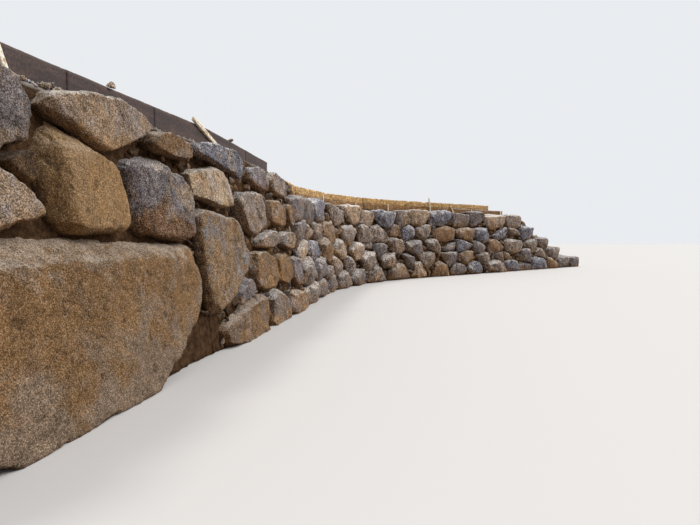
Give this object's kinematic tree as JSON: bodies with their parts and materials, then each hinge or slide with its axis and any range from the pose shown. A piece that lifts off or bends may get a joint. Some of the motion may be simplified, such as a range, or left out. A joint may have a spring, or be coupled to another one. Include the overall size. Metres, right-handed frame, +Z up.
{
  "type": "dry stone boulder retaining wall with form boards",
  "caption": "Curved dry stone wall of large rough boulders in courses, with a raked end and a strip of form boards along the top.",
  "frame": {"origin": "on the ground under the middle of the whole wall's box", "axes": "+X along the near straight run, from the near end towards the bend; +Y from the battered face towards the rear; +Z up"},
  "size_m": [26.2881, 11.3229, 3.3214],
  "materials": {
    "earth_stained_stone": "rough, stained with brown earth",
    "buff_stone": "rough, buff with pale dust on its upper edges",
    "blue_grey_stone": "rough, speckled blue grey",
    "dark_grey_stone": "rough, dark grey",
    "mixed_stone": "rough, grey, buff and brown stones mixed",
    "packed_rubble": "small rubble and brown earth",
    "film_faced_plywood": "dark brown film, satin, scuffed",
    "pine_plank": "sawn, pale yellow",
    "stake_timber": "sawn, pale, weathered"
  },
  "bodies": {
    "root": {"great_foot_boulder": "earth_stained_stone", "flat_faced_boulder": "buff_stone", "blue_boulder": "blue_grey_stone", "dark_top_boulder": "dark_grey_stone", "long_top_boulder": "buff_stone", "near_middle_boulder": "earth_stained_stone", "buff_block": "buff_stone", "tall_boulder": "earth_stained_stone", "buff_foot_boulder": "buff_stone", "round_boulder": "earth_stained_stone", "brown_upper_boulder": "earth_stained_stone", "small_top_boulder": "buff_stone", "grey_top_boulder": "dark_grey_stone", "chink_stones": "earth_stained_stone", "foot_boulders_bay_2": "buff_stone", "middle_boulders_bay_2": "earth_stained_stone", "upper_boulders_bay_2": "earth_stained_stone", "top_boulders_bay_2": "blue_grey_stone", "face_boulders_bay_3": "mixed_stone", "face_boulders_bay_4": "mixed_stone", "face_boulders_bay_5": "mixed_stone", "face_boulders_bay_6": "mixed_stone", "rear_boulders_bay_1": "mixed_stone", "rear_boulders_bay_2": "mixed_stone", "rear_boulders_bay_3": "mixed_stone", "rear_boulders_bay_4": "mixed_stone", "rear_boulders_bay_5": "mixed_stone", "rear_boulders_bay_6": "mixed_stone", "hearting_bay_1": "packed_rubble", "hearting_bay_2": "packed_rubble", "hearting_bay_3": "packed_rubble", "hearting_bay_4": "packed_rubble", "hearting_bay_5": "packed_rubble", "hearting_bay_6": "packed_rubble", "end_stones": "mixed_stone", "toe_boulder": "dark_grey_stone", "near_form_panels": "film_faced_plywood", "far_planks_lower": "pine_plank", "far_planks_upper": "pine_plank", "board_braces": "stake_timber", "board_stakes": "stake_timber"}
  },
  "joints": []
}
